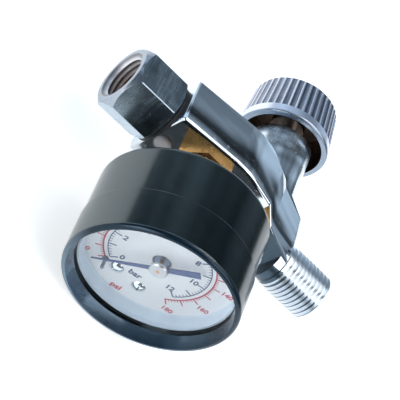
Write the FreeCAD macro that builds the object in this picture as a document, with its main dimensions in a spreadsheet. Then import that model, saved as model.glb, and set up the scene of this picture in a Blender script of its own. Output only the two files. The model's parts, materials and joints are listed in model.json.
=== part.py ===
import FreeCAD, Part
import math
import os
import re
import Sketcher

# In-line air pressure regulator with a dial gauge.
# Row frame: the origin is the centre of the inlet thread's outer end, +X runs along the inlet axis
# out of the thread, the gauge faces -Y, the adjusting knob points to +Y and +Z is up. Millimetres.

DIMENSIONS = (
    # where the four axes lie
    ("outlet_axis", 10.6),        # Y of the outlet axis, which is parallel to X
    ("knob_axis", -25.7),         # X of the valve and knob axis, which is parallel to Y
    ("gauge_axis", -44.5),        # X of the gauge axis, which is parallel to Y
    # lozenge-shaped body
    ("body_end", -60.4),          # X of the outlet end face
    ("body_tip", -12.4),          # X of the inlet end face at the front
    ("tip_rear_end", -14.05),     # X of the inlet end face at the rear, because it leans back
    ("body_corner", -39.0),       # X of the widest place
    ("end_half", 10.25),          # half widths at those three places
    ("corner_half", 12.55),
    ("tip_half", 4.95),
    ("body_front", 4.0),          # Y of the front face, which carries the gauge
    ("body_rear", 17.4),
    ("step_start", -28.0),        # the front steps forward between these two X
    ("step_end", -24.9),
    ("step_front", -0.7),
    ("tip_front", -3.2),
    ("slope_start", -33.0),       # X where the rear face starts to slope
    ("tip_rear", 11.1),
    ("corner_round", 18.0),
    ("tip_round", 2.4),
    ("end_round", 0.8),
    ("front_round", 0.9),
    ("edge_break", 0.5),          # chamfer on the tower, the threads' ends and the flange
    ("overshoot", 1.0),           # how far a cutting outline runs past the solid
    # bonnet tower
    ("tower_radius", 8.4),
    ("tower_foot", 11.9),
    ("tower_top", 31.5),
    ("tower_bore", 6.4),
    ("piston_floor", 14.65),
    ("seat_bore", 3.6),
    ("seat_floor", 11.0),
    ("chamber_bore", 3.3),
    ("chamber_floor", 5.7),
    # inlet
    ("boss_radius", 6.0),
    ("boss_start", -17.0),
    ("boss_end", -14.6),
    ("runout_radius", 6.35),      # the thread runs out beside the body's leaning end face
    ("thread_start", -12.2),
    ("thread_radius", 6.58),      # G1/4: 13.157 mm over the crests
    ("thread_root", 5.8),
    ("thread_pitch", 1.337),
    ("groove_half", 0.56),        # half widths of a thread groove at its mouth and its root
    ("groove_root", 0.1),
    ("groove_over", 0.05),        # a groove's cut starts this far past the crest
    ("thread_land", 0.9),         # plain length at the outer end
    ("inlet_bore", 3.4),
    ("inlet_depth", 16.5),
    ("passage_axis", 2.1),        # Y of the drilled way from the inlet to the valve chamber
    ("passage_radius", 1.1),
    ("riser_offset", 2.1),
    # outlet
    ("stem_thread", 4.0),
    ("stem_socket", 7.6),
    ("outlet_bore", 2.2),
    ("outlet_step", 6.0),         # the outlet bore narrows this far past the gauge axis
    ("outlet_drill_end", -29.9),
    ("outlet_drill", 1.7),
    ("outlet_riser", 5.1),
    ("outlet_riser_radius", 0.95),
    # swivel nut and its stem
    ("nut_mouth", -75.4),
    ("nut_rear", -61.5),
    ("nut_flats", 17.0),
    ("nut_turn", 2.5),            # degrees that a corner stands off +Y
    ("nut_chamfer", 1.9),
    ("nut_mouth_radius", 8.05),
    ("nut_rear_radius", 8.6),
    ("nut_rear_chamfer", 1.0),
    ("nut_corner_over", 0.1),     # the rear chamfer starts this far outside the corners
    ("nut_edge", 0.35),
    ("lip_thickness", 2.4),
    ("lip_bore", 4.56),
    ("lip_play", 0.1),
    ("neck_radius", 4.5),
    ("nut_minor", 5.72),          # G1/4 female thread, over its crests
    ("nut_major", 6.6),
    ("nut_relief", 6.7),
    ("relief_start", -67.6),
    ("countersink_radius", 6.85),
    ("countersink_depth", 1.1),
    ("nut_run_in", 1.75),         # from the mouth to the middle of the first groove
    ("nut_land", 0.5),
    ("rim_round", 0.3),
    ("flange_radius", 5.6),
    ("flange_front", -65.9),
    ("nose_front", -67.2),
    ("nose_radius", 4.0),
    ("washer_radius", 8.45),
    ("washer_thickness", 0.8),
    # valve
    ("orifice", 1.6),
    ("lip_depth", 0.3),
    ("lip_top", 2.0),             # radii of the seat's raised lip at its top and its foot
    ("lip_foot", 2.2),
    ("seat_gap", 0.15),
    ("touch_gap", 0.02),          # between parts that only rest against each other
    ("seal_thickness", 0.6),
    ("seal_inset", 0.1),
    ("poppet_spigot", 1.0),       # radius of the poppet's tail inside its spring
    ("poppet_radius", 2.4),
    ("poppet_back", 9.0),
    ("poppet_stem", 0.75),
    ("poppet_tail", 7.8),
    ("piston_low", 15.9),
    ("piston_high", 18.9),
    ("piston_radius", 6.33),
    ("piston_edge", 0.4),
    ("dimple_mouth", 2.2),
    ("dimple_floor", 1.8),
    ("dimple_depth", 0.8),
    ("ring_groove_half", 0.9),
    ("ring_groove", 4.8),
    ("ring_section", 0.78),
    ("ring_centre", 5.58),
    # adjusting parts
    ("spring_low", 18.9),
    ("spring_high", 26.4),
    ("spring_radius", 4.6),
    ("spring_wire", 0.8),
    ("spring_turns", 3.5),
    ("spring_gap", 0.05),
    ("light_spring_radius", 1.75),
    ("light_spring_wire", 0.4),
    ("light_spring_turns", 3.0),
    ("small_edge", 0.3),          # chamfer on small turned parts
    ("seat_plate", 5.9),
    ("seat_plate_top", 27.6),
    ("seat_spigot", 3.9),
    ("seat_spigot_height", 0.6),
    ("gland_low", 29.0),
    ("gland_top", 31.2),
    ("screw_radius", 2.95),
    ("screw_bore", 3.0),
    ("screw_top", 43.6),
    ("screw_foot", 2.2),
    ("clip_radius", 4.3),
    ("clip_low", 28.3),
    ("clip_high", 28.8),
    # knob
    ("knob_rim", 31.8),
    ("knob_top", 45.6),
    ("rim_radius", 12.6),
    ("band_top", 34.0),
    ("band_radius", 12.45),
    ("crown_radius", 11.35),
    ("skirt_bore", 11.0),
    ("skirt_root", 10.1),
    ("ceiling", 43.0),
    ("hub_radius", 4.5),
    ("hub_low", 37.6),
    ("flute_low", 34.6),
    ("flute_radius", 1.5),
    ("flute_count", 40),
    ("cap_head", 2.75),
    ("cap_shank", 1.5),
    ("cap_depth", 5.0),
    ("cap_end_room", 1.0),
    ("cap_top", 0.2),             # the cap screw's head lies this far below the knob's top
    ("cap_cone_foot", 1.45),
    ("cap_socket", 1.25),
    ("cap_socket_floor", 1.1),
    ("cap_seat_radius", 3.05),
    ("cap_seat_foot", 1.5),
    ("knob_rim_round", 0.7),
    ("crown_edge", 0.4),
    ("flute_offset", 0.8),        # a flute's centre lies this share of its radius outside the wall
    ("flute_taper", 0.9),
    # gauge shell
    ("case_back", -7.9),
    ("case_radius", 21.9),
    ("case_wall", 1.0),
    ("case_shoulder", -22.2),
    ("case_spigot", 21.0),
    ("case_front", -28.9),
    ("case_round", 1.4),
    ("case_hole", 5.06),
    ("shoulder_blend", 1.0),
    ("bezel_radius", 22.3),
    ("bezel_front", -34.6),
    ("bezel_back", -22.3),
    ("bezel_bore", 21.05),
    ("bezel_crest", 21.0),
    ("bezel_round", 1.2),
    ("bezel_lip", 0.6),
    ("bezel_flare", 0.15),
    ("window_front", -31.0),
    ("window_back", -29.5),
    ("window_radius", 20.95),
    ("aperture", 20.05),
    ("dial_front", -25.25),
    ("dial_back", -24.65),
    ("dial_radius", 19.85),
    ("dial_hole", 2.4),
    ("spacer_bore", 19.3),
    ("post_circle", 13.0),
    ("post_spread", 17.1),        # degrees each side of straight down
    ("post_radius", 1.5),
    ("dial_screw", 0.9),
    ("dial_screw_head", 1.9),
    ("dial_screw_height", 0.9),
    ("dial_screw_reach", 0.4),    # how far the screws go into the movement's front plate
    ("stop_radius", 0.45),
    ("stop_circle", 14.6),
    ("stop_angle", -149.5),       # degrees clockwise from up
    ("stop_height", 3.3),
    ("stop_edge", 0.15),
    ("stop_collar", 0.9),
    ("stop_collar_height", 0.25),
    ("plug_radius", 2.3),
    ("plug_neck", 1.8),
    ("plug_crown", 1.7),
    ("plug_edge", 0.4),
    ("plug_height", 0.9),
    ("plug_across", -6.0),
    ("plug_up", -12.9),
    # gauge socket
    ("hex_flats", 14.0),
    ("hex_back", 3.2),
    ("hex_gap", 0.3),
    ("port_thread", 4.86),        # G1/8
    ("port_depth", 7.5),
    ("port_engagement", 4.6),
    ("socket_bore", 1.0),
    ("socket_half", 6.0),
    ("socket_front", -16.2),
    ("socket_low", -18.4),
    ("socket_neck", 3.0),
    ("socket_tall", 5.0),         # half height of the block before it narrows to the neck
    ("socket_waist", 6.0),
    ("socket_bore_depth", 5.0),
    # bourdon tube
    ("tube_inner", 15.0),
    ("tube_outer", 17.6),
    ("tube_front", -20.3),
    ("tube_back", -13.3),
    ("tube_wall", 0.4),
    ("tube_start", 260.0),        # degrees from +X towards +Z where the tube leaves the socket
    ("tube_sweep", 268.0),
    ("lug_thickness", 0.5),
    ("lug_half", 0.9),
    ("lug_end", 0.8),             # from the lug's hole to its free end
    ("lug_root", 0.3),            # how far the lug reaches into the tube's wall
    # movement
    ("plate_front", -22.6),
    ("plate_back", -17.0),
    ("plate_thickness", 0.8),
    ("gear_module", 0.25),
    ("pinion_teeth", 9),
    ("sector_teeth", 63),
    ("sector_angle", 305.0),      # direction from the pinion to the sector's pivot
    ("sector_front", -20.4),
    ("sector_thickness", 0.8),
    ("arbor_radius", 0.5),
    ("arbor_play", 0.05),
    ("arbor_end", 0.1),           # the arbors end this far inside the back plate
    ("gear_backlash", 0.05),
    ("pinion_margin", 0.4),       # the pinion is wider than the sector by this on each side
    ("sector_hub", 1.7),
    ("sector_arm_half", 0.9),
    ("pin_radius", 0.3),
    ("pin_hole", 0.35),
    ("tail_length", 3.6),
    ("tail_angle", 340.0),
    ("link_end_across", 13.2),
    ("link_end_up", -2.3),
    ("link_thickness", 0.5),
    ("link_half", 0.55),
    ("link_eye", 0.85),
    ("link_play", 0.1),
    ("pin_end", 0.8),             # how far the outer link pin stands past the link
    ("pillar_radius", 0.9),
    ("hairspring_gap", 0.25),
    ("bushing_radius", 2.2),
    ("bushing_front", -25.0),
    # pointer
    ("pointer_front", -27.6),
    ("pointer_thickness", 0.3),
    ("pointer_angle", -141.5),    # degrees clockwise from up, at rest
    ("pointer_tip", 17.2),
    ("pointer_tail", 10.4),
    ("pointer_tip_half", 0.12),
    ("pointer_middle_half", 0.7),
    ("pointer_tail_half", 1.05),
    ("hub_cap_radius", 2.45),
    ("hub_cap_front", -28.4),
)

doc = FreeCAD.newDocument("regulator")
sheet = doc.addObject("Spreadsheet::Sheet", "dims")
for row, (alias, number) in enumerate(DIMENSIONS, start=1):
    sheet.set(f"A{row}", alias.replace("_", " "))
    sheet.set(f"B{row}", str(number))
    sheet.setAlias(f"B{row}", alias)
doc.recompute()

NAMES = {alias for alias, number in DIMENSIONS}
parts = []


def bound(expression):
    """The expression with every alias pointing at the sheet."""
    return re.sub(r"[a-z_]+", lambda word: f"dims.{word[0]}" if word[0] in NAMES else word[0],
                  expression)


def value(expression):
    """The number that a sheet expression gives now."""
    return float(sheet.evalExpression(bound(expression)))


def new_part(label, base=("0", "0", "0")):
    """A PartDesign body whose placement is bound to the sheet."""
    body = doc.addObject("PartDesign::Body", label)
    body.Label = label
    for axis, expression in zip("xyz", base):
        body.setExpression(f"Placement.Base.{axis}", bound(expression))
    parts.append(body)
    return body


def new_sketch(body, plane, offset="0"):
    """A sketch on one of the body's own origin planes, moved along that plane's normal."""
    sketch = body.newObject("Sketcher::SketchObject", "Outline")
    support = [o for o in body.Origin.OriginFeatures if o.Role == plane][0]
    sketch.AttachmentSupport = [(support, "")]
    sketch.MapMode = "FlatFace"
    sketch.setExpression("AttachmentOffset.Base.z", bound(offset))
    return sketch


def pin_corner(sketch, line, point):
    """Fix a line's first end to sheet expressions."""
    for kind, axis, expression in (("DistanceX", -2, point[0]), ("DistanceY", -1, point[1])):
        if abs(value(expression)) < 1e-9:
            sketch.addConstraint(Sketcher.Constraint("PointOnObject", line, 1, axis))
        else:
            rule = Sketcher.Constraint(kind, -1, 1, line, 1, value(expression))
            index = sketch.addConstraint(rule)
            sketch.setExpression(f"Constraints[{index}]", bound(expression))


def draw_outline(sketch, points):
    """A closed straight-sided outline; each corner is a pair of sheet expressions."""
    corners = [FreeCAD.Vector(value(u), value(v), 0) for u, v in points]
    count = len(corners)
    first = sketch.GeometryCount
    for i in range(count):
        sketch.addGeometry(Part.LineSegment(corners[i], corners[(i + 1) % count]), False)
    for i in range(count):
        follow = first + (i + 1) % count
        sketch.addConstraint(Sketcher.Constraint("Coincident", first + i, 2, follow, 1))
    for i, point in enumerate(points):
        pin_corner(sketch, first + i, point)


def draw_circle(sketch, centre, radius):
    """A circle whose centre and radius are sheet expressions."""
    middle = FreeCAD.Vector(value(centre[0]), value(centre[1]), 0)
    normal = FreeCAD.Vector(0, 0, 1)
    ring = sketch.addGeometry(Part.Circle(middle, normal, value(radius)), False)
    for kind, axis, expression in (("DistanceX", -2, centre[0]), ("DistanceY", -1, centre[1])):
        if abs(value(expression)) < 1e-9:
            sketch.addConstraint(Sketcher.Constraint("PointOnObject", ring, 3, axis))
        else:
            rule = Sketcher.Constraint(kind, -1, 1, ring, 3, value(expression))
            index = sketch.addConstraint(rule)
            sketch.setExpression(f"Constraints[{index}]", bound(expression))
    index = sketch.addConstraint(Sketcher.Constraint("Radius", ring, value(radius)))
    sketch.setExpression(f"Constraints[{index}]", bound(radius))


def changed(body, feature, before, grows):
    """Recompute and make sure that the feature really added or removed material."""
    doc.recompute()
    after = feature.Shape.Volume
    assert (after > before) if grows else (after < before), f"{body.Label}: {feature.Name} did nothing"
    body.Tip = feature
    return feature


def volume(body):
    doc.recompute()
    return body.Shape.Volume if body.Tip else 0.0


def pad(body, sketch, length, reverse=False):
    before = volume(body)
    feature = body.newObject("PartDesign::Pad", "Pad")
    feature.Profile = sketch
    feature.setExpression("Length", bound(length))
    feature.Reversed = reverse
    return changed(body, feature, before, True)


def pocket(body, sketch, length):
    """A cut that runs along the sketch plane's own normal."""
    before = volume(body)
    feature = body.newObject("PartDesign::Pocket", "Pocket")
    feature.Profile = sketch
    feature.setExpression("Length", bound(length))
    feature.Reversed = True
    return changed(body, feature, before, False)


def slice_off(body, sketch):
    """A cut through everything on both sides of the sketch."""
    before = volume(body)
    feature = body.newObject("PartDesign::Pocket", "Slice")
    feature.Profile = sketch
    feature.Type = 1
    feature.Midplane = True
    return changed(body, feature, before, False)


def revolve(body, sketch, axis):
    """A turned solid about the sketch's own H or V axis."""
    before = volume(body)
    feature = body.newObject("PartDesign::Revolution", "Revolution")
    feature.Profile = sketch
    feature.ReferenceAxis = (sketch, [axis])
    feature.Angle = 360
    return changed(body, feature, before, True)


def turn_away(body, sketch, axis):
    """A turned cut about the sketch's own H or V axis."""
    before = volume(body)
    feature = body.newObject("PartDesign::Groove", "Groove")
    feature.Profile = sketch
    feature.ReferenceAxis = (sketch, [axis])
    feature.Angle = 360
    return changed(body, feature, before, False)


def boss_y(body, centre, radius, low, high):
    """A round boss parallel to Y; centre is (x, z)."""
    sketch = new_sketch(body, "XZ_Plane", f"-({high})")
    draw_circle(sketch, centre, radius)
    return pad(body, sketch, f"({high}) - ({low})")


def bore_y(body, centre, radius, low, high):
    """A round hole parallel to Y; centre is (x, z)."""
    sketch = new_sketch(body, "XZ_Plane", f"-({high})")
    draw_circle(sketch, centre, radius)
    return pocket(body, sketch, f"({high}) - ({low})")


def boss_x(body, centre, radius, low, high):
    """A round boss parallel to X; centre is (y, z)."""
    sketch = new_sketch(body, "YZ_Plane", low)
    draw_circle(sketch, centre, radius)
    return pad(body, sketch, f"({high}) - ({low})")


def bore_x(body, centre, radius, low, high):
    """A round hole parallel to X; centre is (y, z)."""
    sketch = new_sketch(body, "YZ_Plane", low)
    draw_circle(sketch, centre, radius)
    return pocket(body, sketch, f"({high}) - ({low})")


def finish_edges(body, kind, size, chosen):
    """Fillet or chamfer the edges of the current solid for which chosen(edge) is true."""
    doc.recompute()
    base = body.Tip
    names = [f"Edge{i}" for i, edge in enumerate(base.Shape.Edges, start=1) if chosen(edge)]
    assert names, f"{body.Label}: no edge to finish"
    feature = body.newObject(f"PartDesign::{kind}", kind)
    feature.Base = (base, names)
    feature.setExpression("Radius" if kind == "Fillet" else "Size", bound(size))
    doc.recompute()
    assert feature.Shape.isValid(), f"{body.Label}: {kind} failed"
    body.Tip = feature
    return feature


def curve_is(edge, kind):
    """True if the edge's curve is of that kind. FreeCAD has no class for a few curves of blends."""
    try:
        return isinstance(edge.Curve, kind)
    except TypeError:
        return False


def circle_at(edge, radius, axis, station):
    """True for a round edge of that radius whose centre is at that station along the axis."""
    if not curve_is(edge, Part.Circle):
        return False
    centre = getattr(edge.Curve.Center, axis)
    return abs(edge.Curve.Radius - value(radius)) < 1e-3 and abs(centre - value(station)) < 1e-3


def turned_y(label, base_x, points):
    """A part turned about an axis parallel to Y; each point is (radius, y)."""
    body = new_part(label, (base_x, "0", "0"))
    sketch = new_sketch(body, "XY_Plane")
    draw_outline(sketch, points)
    revolve(body, sketch, "V_Axis")
    return body


def turned_x(label, base_y, points):
    """A part turned about an axis parallel to X; each point is (x, radius)."""
    body = new_part(label, ("0", base_y, "0"))
    sketch = new_sketch(body, "XY_Plane")
    draw_outline(sketch, points)
    revolve(body, sketch, "H_Axis")
    return body


def hexagon(sketch, flats, turn="0"):
    """A hexagon about the sketch's origin, with one corner turned from its first axis."""
    corner = f"({flats}) / 2 / cos(30deg)"
    draw_outline(sketch, [(f"{corner} * cos({60 * k}deg + ({turn}) * 1deg)",
                           f"{corner} * sin({60 * k}deg + ({turn}) * 1deg)") for k in range(6)])


def row_of(body, feature, axis_role, length, count):
    """Repeat the last cut along one of the body's own axes."""
    pattern = body.newObject("PartDesign::LinearPattern", "Row")
    pattern.Originals = [feature]
    axis = [o for o in body.Origin.OriginFeatures if o.Role == axis_role][0]
    pattern.Direction = (axis, [""])
    pattern.Length = length
    pattern.Occurrences = count
    body.Tip = pattern
    doc.recompute()
    return pattern


def free_shape(label, shape, base, spin_axis=(0, 1, 0), spin=0.0):
    """A shape that the sketch features can't make; its sizes are read from the sheet."""
    feature = doc.addObject("Part::Feature", label)
    feature.Label = label
    feature.Shape = shape
    rotation = FreeCAD.Rotation(FreeCAD.Vector(*spin_axis), spin)
    feature.Placement = FreeCAD.Placement(FreeCAD.Vector(*base), rotation)
    parts.append(feature)
    return feature


def rod(label, radius, foot, height):
    """A Part cylinder parallel to Y, bound to the sheet; foot is (x, y, z)."""
    cylinder = doc.addObject("Part::Cylinder", label)
    cylinder.setExpression("Radius", bound(radius))
    cylinder.setExpression("Height", bound(height))
    cylinder.Placement = FreeCAD.Placement(FreeCAD.Vector(), FreeCAD.Rotation(FreeCAD.Vector(1, 0, 0), -90))
    for axis, expression in zip("xyz", foot):
        cylinder.setExpression(f"Placement.Base.{axis}", bound(expression))
    return cylinder


def group(label, shapes):
    """Several Part shapes as one sub-part; those that touch become one solid."""
    fuse = doc.addObject("Part::MultiFuse", label)
    fuse.Label = label
    fuse.Shapes = shapes
    parts.append(fuse)
    return fuse


# --------------------------------------------------------------------------- valve body

def build_valve_body():
    """Lozenge body, bonnet tower, inlet boss and thread, with every drilled way."""
    body = new_part("valve_body")
    plan = new_sketch(body, "XZ_Plane", "-body_rear")
    draw_outline(plan, [("body_end", "end_half"), ("body_corner", "corner_half"), ("body_tip", "tip_half"),
                        ("body_tip", "-tip_half"), ("body_corner", "-corner_half"),
                        ("body_end", "-end_half")])
    pad(body, plan, "body_rear - tip_front")
    side = new_sketch(body, "XY_Plane")
    draw_outline(side, [("body_end - overshoot", "tip_front - overshoot"),
                        ("body_end - overshoot", "body_front"),
                        ("step_start", "body_front"), ("step_end", "step_front"),
                        ("body_tip", "tip_front"), ("body_tip + overshoot", "tip_front - overshoot")])
    draw_outline(side, [("slope_start", "body_rear"), ("tip_rear_end", "tip_rear"),
                        ("body_tip", "tip_front"), ("body_tip + overshoot", "tip_front"),
                        ("body_tip + overshoot", "body_rear + overshoot"),
                        ("slope_start", "body_rear + overshoot")])
    slice_off(body, side)
    finish_edges(body, "Fillet", "corner_round", lambda edge: upright_at(edge, "body_corner"))
    finish_edges(body, "Fillet", "tip_round", tip_corner)
    finish_edges(body, "Fillet", "end_round", lambda edge: upright_at(edge, "body_end"))
    finish_edges(body, "Fillet", "front_round", front_rim)
    centre = ("knob_axis", "0")
    boss_y(body, centre, "tower_radius", "tower_foot", "tower_top")
    finish_edges(body, "Chamfer", "edge_break",
                 lambda edge: circle_at(edge, "tower_radius", "y", "tower_top"))
    inlet = ("0", "0")
    boss_x(body, inlet, "boss_radius", "boss_start", "boss_end")
    boss_x(body, inlet, "runout_radius", "boss_end", "thread_start")
    boss_x(body, inlet, "thread_radius", "thread_start", "0")
    finish_edges(body, "Chamfer", "edge_break",
                 lambda edge: circle_at(edge, "thread_radius", "x", "0"))
    bore_y(body, centre, "tower_bore", "piston_floor", "tower_top")
    bore_y(body, centre, "seat_bore", "seat_floor", "piston_floor")
    bore_y(body, centre, "chamber_bore", "chamber_floor", "seat_floor")
    bore_x(body, inlet, "inlet_bore", "-inlet_depth", "0")
    bore_y(body, ("knob_axis + riser_offset", "0"), "passage_radius", "passage_axis", "chamber_floor")
    bore_x(body, ("passage_axis", "0"), "passage_radius", "knob_axis + riser_offset", "-inlet_depth")
    outlet = ("outlet_axis", "0")
    bore_x(body, outlet, "stem_thread", "body_end", "body_end + stem_socket")
    bore_x(body, outlet, "outlet_bore", "body_end + stem_socket", "gauge_axis + outlet_step")
    bore_x(body, outlet, "outlet_drill", "gauge_axis + outlet_step", "outlet_drill_end")
    bore_y(body, ("knob_axis - outlet_riser", "0"), "outlet_riser_radius", "outlet_axis", "piston_floor")
    bore_y(body, ("gauge_axis", "0"), "port_thread", "body_front", "body_front + port_depth")
    first = "boss_end + thread_pitch"
    cut_thread(body, first, "thread_radius + groove_over", "thread_root", value(f"-({first}) - thread_land"))


def upright_at(edge, station):
    """True for a straight edge parallel to Y at that X."""
    if not curve_is(edge, Part.Line):
        return False
    start, end = (vertex.Point for vertex in edge.Vertexes)
    same = abs(start.x - end.x) < 1e-6 and abs(start.z - end.z) < 1e-6
    return same and abs(start.x - value(station)) < 1e-3


def tip_corner(edge):
    """True for the two straight edges between the leaning end face and the side walls."""
    box = edge.BoundBox
    ends = abs(box.XMin - value("tip_rear_end")) < 1e-3 and abs(box.XMax - value("body_tip")) < 1e-3
    return ends and box.YLength > 5 and abs(box.Center.z) > 1


def front_rim(edge):
    """True for the edges between the front face and the two side walls."""
    box = edge.BoundBox
    flat = abs(box.YMin - value("body_front")) < 1e-3 and abs(box.YMax - value("body_front")) < 1e-3
    side = min(abs(box.ZMin), abs(box.ZMax)) > 5 and box.XLength > 0.1
    return flat and side


def cut_thread(body, first, mouth, root, length):
    """A thread along X as V grooves one pitch apart, from the first groove's middle over a length."""
    groove = new_sketch(body, "XY_Plane")
    draw_outline(groove, [(f"{first} - groove_half", mouth), (f"{first} - groove_root", root),
                          (f"{first} + groove_root", root), (f"{first} + groove_half", mouth)])
    feature = turn_away(body, groove, "H_Axis")
    pitch = value("thread_pitch")
    count = int(length / pitch) + 1
    row_of(body, feature, "X_Axis", pitch * (count - 1), count)


# --------------------------------------------------------------------------- outlet

def build_swivel_nut():
    """Hexagonal nut with both ends chamfered round, a rear lip and an internal thread."""
    body = new_part("swivel_nut", ("0", "outlet_axis", "0"))
    flats = new_sketch(body, "YZ_Plane", "nut_mouth")
    hexagon(flats, "nut_flats", "nut_turn")
    pad(body, flats, "nut_rear - nut_mouth")
    length = value("nut_rear - nut_mouth")
    finish_edges(body, "Fillet", "nut_edge", lambda edge: abs(edge.BoundBox.XLength - length) < 1e-3)
    corner = "nut_flats / 2 / cos(30deg)"
    ends = new_sketch(body, "XY_Plane")
    beyond = f"{corner} + overshoot"
    draw_outline(ends, [("nut_mouth", "nut_mouth_radius"), ("nut_mouth", beyond),
                        ("nut_mouth + nut_chamfer", beyond), ("nut_mouth + nut_chamfer", corner)])
    draw_outline(ends, [("nut_rear", "nut_rear_radius"),
                        ("nut_rear - nut_rear_chamfer", f"{corner} + nut_corner_over"),
                        ("nut_rear - nut_rear_chamfer", beyond), ("nut_rear", beyond)])
    turn_away(body, ends, "H_Axis")
    inside = new_sketch(body, "XY_Plane")
    draw_outline(inside, [("nut_mouth", "0"), ("nut_mouth", "countersink_radius"),
                          ("nut_mouth + countersink_depth", "nut_minor"), ("relief_start", "nut_minor"),
                          ("relief_start", "nut_relief"), ("nut_rear - lip_thickness", "nut_relief"),
                          ("nut_rear - lip_thickness", "lip_bore"), ("nut_rear", "lip_bore"),
                          ("nut_rear", "0")])
    turn_away(body, inside, "H_Axis")
    first = "nut_mouth + nut_run_in"
    cut_thread(body, first, "nut_minor - groove_over", "nut_major",
               value(f"relief_start - ({first}) - nut_land"))
    finish_edges(body, "Fillet", "rim_round",
                 lambda edge: circle_at(edge, "nut_mouth_radius", "x", "nut_mouth"))


def build_outlet_stem():
    """Brass tailpiece: nose, flange, neck and the thread in the body."""
    turned_x("outlet_stem", "outlet_axis", [
        ("nose_front", "outlet_bore"), ("nose_front", "nose_radius"),
        ("flange_front", "flange_radius - edge_break"), ("flange_front", "flange_radius"),
        ("nut_rear - lip_thickness - lip_play", "flange_radius"),
        ("nut_rear - lip_thickness - lip_play", "neck_radius"), ("body_end", "neck_radius"),
        ("body_end", "stem_thread"), ("body_end + stem_socket", "stem_thread"),
        ("body_end + stem_socket", "outlet_bore")])


def build_spacer_washer():
    """Dark washer on the stem's neck, between the nut and the body."""
    turned_x("spacer_washer", "outlet_axis", [
        ("body_end - washer_thickness", "neck_radius"), ("body_end - washer_thickness", "washer_radius"),
        ("body_end", "washer_radius"), ("body_end", "neck_radius")])


# --------------------------------------------------------------------------- valve and piston

def build_valve():
    """Screwed-in seat, poppet with its rubber face, sensing piston and its ring."""
    turned_y("valve_seat", "knob_axis", [
        ("orifice", "seat_floor - lip_depth"), ("lip_top", "seat_floor - lip_depth"),
        ("lip_foot", "seat_floor"), ("seat_bore", "seat_floor"), ("seat_bore", "piston_floor - seat_gap"),
        ("orifice", "piston_floor - seat_gap")])
    face = "seat_floor - lip_depth - touch_gap"
    back = f"{face} - seal_thickness"
    turned_y("poppet", "knob_axis", [
        ("0", "poppet_tail"), ("poppet_spigot", "poppet_tail"), ("poppet_spigot", "poppet_back"),
        ("poppet_radius", "poppet_back"), ("poppet_radius", back), ("poppet_stem", back),
        ("poppet_stem", "piston_low - touch_gap"), ("0", "piston_low - touch_gap")])
    turned_y("poppet_seal", "knob_axis", [
        ("poppet_stem", back), ("poppet_radius - seal_inset", back), ("poppet_radius - seal_inset", face),
        ("poppet_stem", face)])
    middle = "(piston_low + piston_high) / 2"
    groove_low, groove_high = f"{middle} - ring_groove_half", f"{middle} + ring_groove_half"
    turned_y("piston", "knob_axis", [
        ("0", "piston_low"), ("piston_radius - piston_edge", "piston_low"),
        ("piston_radius", "piston_low + piston_edge"), ("piston_radius", groove_low),
        ("ring_groove", groove_low), ("ring_groove", groove_high), ("piston_radius", groove_high),
        ("piston_radius", "piston_high"), ("dimple_mouth", "piston_high"),
        ("dimple_floor", "piston_high - dimple_depth"), ("0", "piston_high - dimple_depth")])
    ring = new_part("piston_ring", ("knob_axis", "0", "0"))
    section = new_sketch(ring, "XY_Plane")
    draw_circle(section, ("ring_centre", middle), "ring_section")
    revolve(ring, section, "V_Axis")


def coil(label, base_x, radius, wire, low, high, turns):
    """A round-wire spring about an axis parallel to Y."""
    rise = high - low - wire
    helix = Part.makeHelix(rise / turns, rise, radius)
    start = FreeCAD.Vector(radius, 0, 0)
    tangent = FreeCAD.Vector(0, 2 * math.pi * radius, rise / turns)
    section = Part.Wire([Part.Edge(Part.Circle(start, tangent, wire / 2))])
    shape = Part.Wire(helix.Edges).makePipeShell([section], True, True)
    return free_shape(label, shape, (base_x, low + wire / 2, 0), (1, 0, 0), -90)


def build_springs():
    """Main spring on the piston and the light spring under the poppet."""
    coil("main_spring", value("knob_axis"), value("spring_radius"), value("spring_wire"),
         value("spring_low + spring_gap"), value("spring_high - spring_gap"), value("spring_turns"))
    coil("poppet_spring", value("knob_axis"), value("light_spring_radius"), value("light_spring_wire"),
         value("chamber_floor + spring_gap"), value("poppet_back - spring_gap"),
         value("light_spring_turns"))


# --------------------------------------------------------------------------- adjusting parts

def build_adjuster():
    """Spring seat, gland, adjusting screw with its clip, and the knob's screw."""
    turned_y("spring_seat", "knob_axis", [
        ("0", "spring_high - seat_spigot_height"),
        ("seat_spigot - small_edge", "spring_high - seat_spigot_height"), ("seat_spigot", "spring_high"),
        ("seat_plate", "spring_high"), ("seat_plate", "seat_plate_top - small_edge"),
        ("seat_plate - small_edge", "seat_plate_top"), ("0", "seat_plate_top")])
    turned_y("gland", "knob_axis", [
        ("screw_bore", "gland_low"), ("tower_bore", "gland_low"), ("tower_bore", "gland_top"),
        ("screw_bore", "gland_top")])
    turned_y("adjusting_screw", "knob_axis", [
        ("0", "seat_plate_top + touch_gap"), ("screw_foot", "seat_plate_top + touch_gap"),
        ("screw_foot", "clip_high"), ("screw_radius", "clip_high"), ("screw_radius", "screw_top"),
        ("cap_shank", "screw_top"), ("cap_shank", "knob_top - cap_depth - cap_end_room"),
        ("0", "knob_top - cap_depth - cap_end_room")])
    turned_y("screw_clip", "knob_axis", [
        ("screw_foot", "clip_low"), ("clip_radius", "clip_low"), ("clip_radius", "clip_high"),
        ("screw_foot", "clip_high")])
    turned_y("knob_screw", "knob_axis", [
        ("0", "knob_top - cap_depth"), ("cap_shank", "knob_top - cap_depth"),
        ("cap_shank", "knob_top - cap_cone_foot"), ("cap_head", "knob_top - cap_top"),
        ("cap_socket", "knob_top - cap_top"), ("cap_socket", "knob_top - cap_socket_floor"),
        ("0", "knob_top - cap_socket_floor")])


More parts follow.
